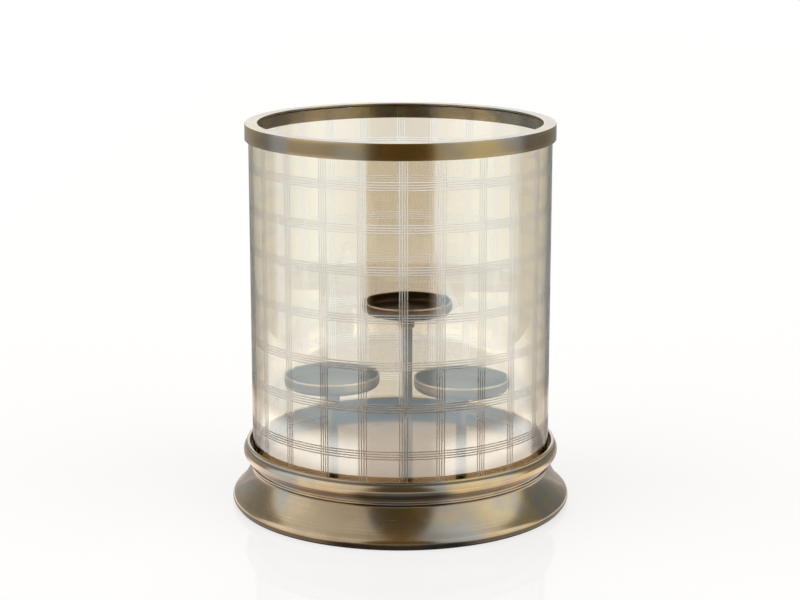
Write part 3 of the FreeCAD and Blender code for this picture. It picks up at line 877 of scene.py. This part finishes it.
class LANTERN_OT_stage(bpy.types.Operator):
    """White table, two soft walls of light with a dark gap between them, and the camera"""

    bl_idname = "lantern.stage"
    bl_label = "Stage"

    def execute(self, context):
        stage = context.scene.lantern_stage
        context.scene.view_settings.view_transform = "Standard"
        self.camera(context, stage)
        self.table(context, stage)
        self.studio(context, stage)
        return {"FINISHED"}

    def camera(self, context, stage):
        """The camera, on a level circle round the main axis."""
        lens = bpy.data.cameras.new("studio_camera")
        lens.sensor_fit = "HORIZONTAL"
        lens.sensor_width = 36.0
        lens.lens = stage.camera_lens
        camera = bpy.data.objects.new("studio_camera", lens)
        azimuth = stage.camera_azimuth
        camera.location = (stage.camera_distance * math.sin(azimuth),
                           -stage.camera_distance * math.cos(azimuth), stage.camera_height)
        camera.rotation_euler = (math.pi / 2 - stage.camera_pitch, 0.0, azimuth + stage.camera_yaw)
        context.scene.collection.objects.link(camera)
        context.scene.camera = camera

    def table(self, context, stage):
        """A flat sheet (x, y, 0) with straight edges."""
        wide, back = stage.table_side, stage.table_reach
        corners = ((-wide, -stage.table_front, 0.0), (wide, -stage.table_front, 0.0),
                   (wide, back, 0.0), (-wide, back, 0.0))
        mesh = bpy.data.meshes.new("table_top")
        mesh.from_pydata(corners, [], ((0, 1, 2, 3),))
        mesh.materials.append(white_table(context.scene.lantern_colours, stage))
        top = bpy.data.objects.new("table_top", mesh)
        context.scene.collection.objects.link(top)

    def studio(self, context, stage):
        """World light by direction: walls of light left and right, dark towards the camera.

        Seen directly or through the glass, the world is plain white.
        """
        world = bpy.data.worlds.new("soft_studio")
        context.scene.world = world
        world.use_nodes = True
        tree = world.node_tree
        ground = tree.nodes["Background"]
        way = node(tree, "ShaderNodeTexCoord").outputs["Generated"]
        degrees, rightward = bearing(tree, way, stage.camera_azimuth)
        ends = maths(tree, "MULTIPLY_ADD", rightward, END_LEAD, degrees)
        walls = maths(tree, "MULTIPLY", spread(tree, degrees, 23.0, 27.0), spread(tree, ends, 118.0, 104.0))
        walls = maths(tree, "MULTIPLY", walls, spread(tree, degrees, 25.0, 75.0, 0.70, 1.0))
        rise = node(tree, "ShaderNodeSeparateXYZ", {0: way}).outputs[2]
        behind = maths(tree, "MULTIPLY", spread(tree, degrees, 148.0, 166.0),
                       spread(tree, rise, -0.10, 0.10, 0.22, 0.86))
        height = maths(tree, "MULTIPLY", spread(tree, rise, -0.08, 0.10, 0.70, 1.0),
                       spread(tree, rise, 0.98, 0.80, 0.55, 1.0))
        bright = maths(tree, "MULTIPLY", height, maths(tree, "MAXIMUM", walls, behind))
        glow = mixed(tree, bright, (0.120, 0.074, 0.021), (1.0, 1.0, 1.0))
        sides = spread(tree, degrees, 60.0, 110.0)
        dim = mixed(tree, rightward, (0.30, 0.285, 0.255), (0.21, 0.20, 0.175))
        glow = mixed(tree, maths(tree, "MULTIPLY", sides, maths(tree, "SUBTRACT", 1.0, bright)), glow, dim)
        path = node(tree, "ShaderNodeLightPath")
        bounced = maths(tree, "ADD", path.outputs["Glossy Depth"], path.outputs["Diffuse Depth"])
        open_view = maths(tree, "LESS_THAN", bounced, 0.5)
        lit = node(tree, "ShaderNodeVectorMath", {0: glow, "Scale": stage.studio_light}, operation="SCALE")
        tree.links.new(mixed(tree, open_view, lit.outputs[0], (1.0, 1.0, 1.0)), ground.inputs["Color"])
        ground.inputs["Strength"].default_value = 1.0


class LANTERN_OT_base(bpy.types.Operator):
    """Turned skirt and gallery collar of the stand"""

    bl_idname = "lantern.base"
    bl_label = "Skirt and collar"

    def execute(self, context):
        sizes, colours = context.scene.lantern_sizes, context.scene.lantern_colours
        brass = turned_brass("aged_turned_brass", colours.brass_light[:], colours.brass_brown[:],
                             colours.brass_grey[:], 0.21)
        skirt = skirt_section(sizes)
        # The top face of the shoulder, next to the collar's neck, is darkened: painted shade.
        shoulder = top_level("base_skirt") - sizes.shoulder_edge - 0.0004
        rub_and_painted_light = np.where(skirt[:, 1] > shoulder, -0.6, 0.0)
        seat(turned_piece("turned_skirt", skirt, 320, rub_and_painted_light=rub_and_painted_light), "stand", "aged_brass", brass, "base_skirt")
        collar = collar_section(sizes)
        # The neck at the foot of the collar and the faces inside the neck are darkened as painted shade, the
        # bead is lighter, and the lip above the crease is darker, as patina and painted shade.
        bead = foot_level("gallery_collar") + sizes.bead_height
        lip = bead + math.sqrt(sizes.bead_round ** 2 - (sizes.bead_round - sizes.bead_proud) ** 2)
        rub_and_painted_light = np.interp(collar[:, 1] - lip, (-0.0130, -0.0105, -0.0010, 0.0003), (-0.7, 0.6, 0.6, -0.9))
        rub_and_painted_light = np.where(collar[:, 0] < neck_radius(sizes), -0.9, rub_and_painted_light)
        seat(turned_piece("turned_collar", collar, 320, rub_and_painted_light=rub_and_painted_light), "stand", "aged_brass", brass,
             "gallery_collar")
        return {"FINISHED"}


class LANTERN_OT_floor(bpy.types.Operator):
    """Polished floor plate and the clear rings at both ends of the glass"""

    bl_idname = "lantern.floor"
    bl_label = "Floor plate and gasket"

    def execute(self, context):
        colours = context.scene.lantern_colours
        refinish("floor_plate", polished_floor(colours))
        clear = clear_silicone(colours)
        refinish("glass_gasket", clear)
        refinish("rim_bedding", clear)
        return {"FINISHED"}


class LANTERN_OT_candle_stations(bpy.types.Operator):
    """Three posts with their sleeves and candle cups"""

    bl_idname = "lantern.candle_stations"
    bl_label = "Candle stations"

    def execute(self, context):
        sizes, colours = context.scene.lantern_sizes, context.scene.lantern_colours
        brass = turned_brass("dark_cup_brass", colours.cup_light[:], colours.cup_brown[:],
                             [part * 0.5 for part in colours.brass_light], 0.22, coat=0.0,
                             edge=colours.cup_edge[:])
        for station in STATIONS:
            centre = station_centre(station)
            cup = cup_section(station, sizes)
            # Each cup's top edge is lightest, partly rubbing and partly a painted highlight; the inside of
            # the cup is darker.
            inside = np.arange(len(cup)) > np.argmax(cup[:, 1]) + 4
            edge = cup[:, 1] > top_level(f"candle_cup_{station}") - sizes.cup_edge * 1.6
            worn_and_lit = np.where(edge, 1.0, np.where(inside, -0.9, 0.0))
            for kind, outline, steps, rub_and_painted_light, stands_for in (
                    ("turned_post", post_section(station), 64, 0.0, "candle_post"),
                    ("turned_sleeve", ferrule_section(station), 64, 0.0, "post_ferrule"),
                    ("pressed_cup", cup, 160, worn_and_lit, "candle_cup")):
                piece = turned_piece(f"{kind}_{station}", outline, steps, centre, closed=False, rub_and_painted_light=rub_and_painted_light)
                seat(piece, "stand", "cup_brass", brass, f"{stands_for}_{station}")
        return {"FINISHED"}


class LANTERN_OT_glass(bpy.types.Operator):
    """Tinted glass cylinder with its plaid of cut lines"""

    bl_idname = "lantern.glass"
    bl_label = "Cut glass shade"

    def execute(self, context):
        sizes, colours = context.scene.lantern_sizes, context.scene.lantern_colours
        seat(glass_piece(sizes), "shade", "tinted_glass", glass_finishes(colours), "glass_cylinder")
        return {"FINISHED"}


class LANTERN_OT_rim(bpy.types.Operator):
    """Brass ring that caps the glass"""

    bl_idname = "lantern.rim"
    bl_label = "Rim ring"

    def execute(self, context):
        sizes, colours = context.scene.lantern_sizes, context.scene.lantern_colours
        brass = turned_brass("aged_rim_brass", [part * 0.90 for part in colours.brass_light],
                             colours.brass_brown[:], colours.brass_grey[:], 0.20, coat=0.35)
        seat(turned_piece("rolled_rim", rim_section(sizes), 320), "shade", "aged_brass", brass, "rim_ring")
        return {"FINISHED"}


class LANTERN_OT_underside(bpy.types.Operator):
    """Felt, bottom plate and the fastenings inside the base"""

    bl_idname = "lantern.underside"
    bl_label = "Underside"

    def execute(self, context):
        colours = context.scene.lantern_colours
        refinish("felt_ring", pressed_felt(colours))
        refinish("bottom_plate", black_sheet(colours))
        zinc = zinc_plate(colours)
        for name in ("tie_rod", "tie_washer", "tie_nut", "post_washers", "post_nuts"):
            refinish(name, zinc)
        return {"FINISHED"}


class LANTERN_PT_pieces(bpy.types.Panel):
    """The lantern's pieces and their sizes and colours"""

    bl_idname = "LANTERN_PT_pieces"
    bl_label = "Hurricane Lantern"
    bl_space_type = "VIEW_3D"
    bl_region_type = "UI"
    bl_category = "Lantern"

    def draw(self, context):
        for operator in OPERATORS:
            self.layout.operator(operator.bl_idname)
        scene = context.scene
        for group in (scene.lantern_sizes, scene.lantern_colours, scene.lantern_stage):
            box = self.layout.box()
            for name in group.bl_rna.properties.keys():
                if name not in {"rna_type", "name"}:
                    box.prop(group, name)


GROUPS = (LanternSizes, LanternColours, LanternStage)
OPERATORS = (LANTERN_OT_stage, LANTERN_OT_base, LANTERN_OT_floor, LANTERN_OT_candle_stations,
             LANTERN_OT_glass, LANTERN_OT_rim, LANTERN_OT_underside)


def register():
    """Adds the classes and the scene's settings."""
    for each in (*GROUPS, *OPERATORS, LANTERN_PT_pieces):
        bpy.utils.register_class(each)
    bpy.types.Scene.lantern_sizes = bpy.props.PointerProperty(type=LanternSizes)
    bpy.types.Scene.lantern_colours = bpy.props.PointerProperty(type=LanternColours)
    bpy.types.Scene.lantern_stage = bpy.props.PointerProperty(type=LanternStage)


def unregister():
    """Removes them again."""
    for name in ("lantern_sizes", "lantern_colours", "lantern_stage"):
        delattr(bpy.types.Scene, name)
    for each in (LANTERN_PT_pieces, *OPERATORS[::-1], *GROUPS[::-1]):
        bpy.utils.unregister_class(each)


def main():
    """Builds the dressed lantern."""
    register()
    bpy.ops.lantern.stage()
    bpy.ops.lantern.base()
    bpy.ops.lantern.floor()
    bpy.ops.lantern.candle_stations()
    bpy.ops.lantern.glass()
    bpy.ops.lantern.rim()
    bpy.ops.lantern.underside()


if __name__ == "__main__":
    main()
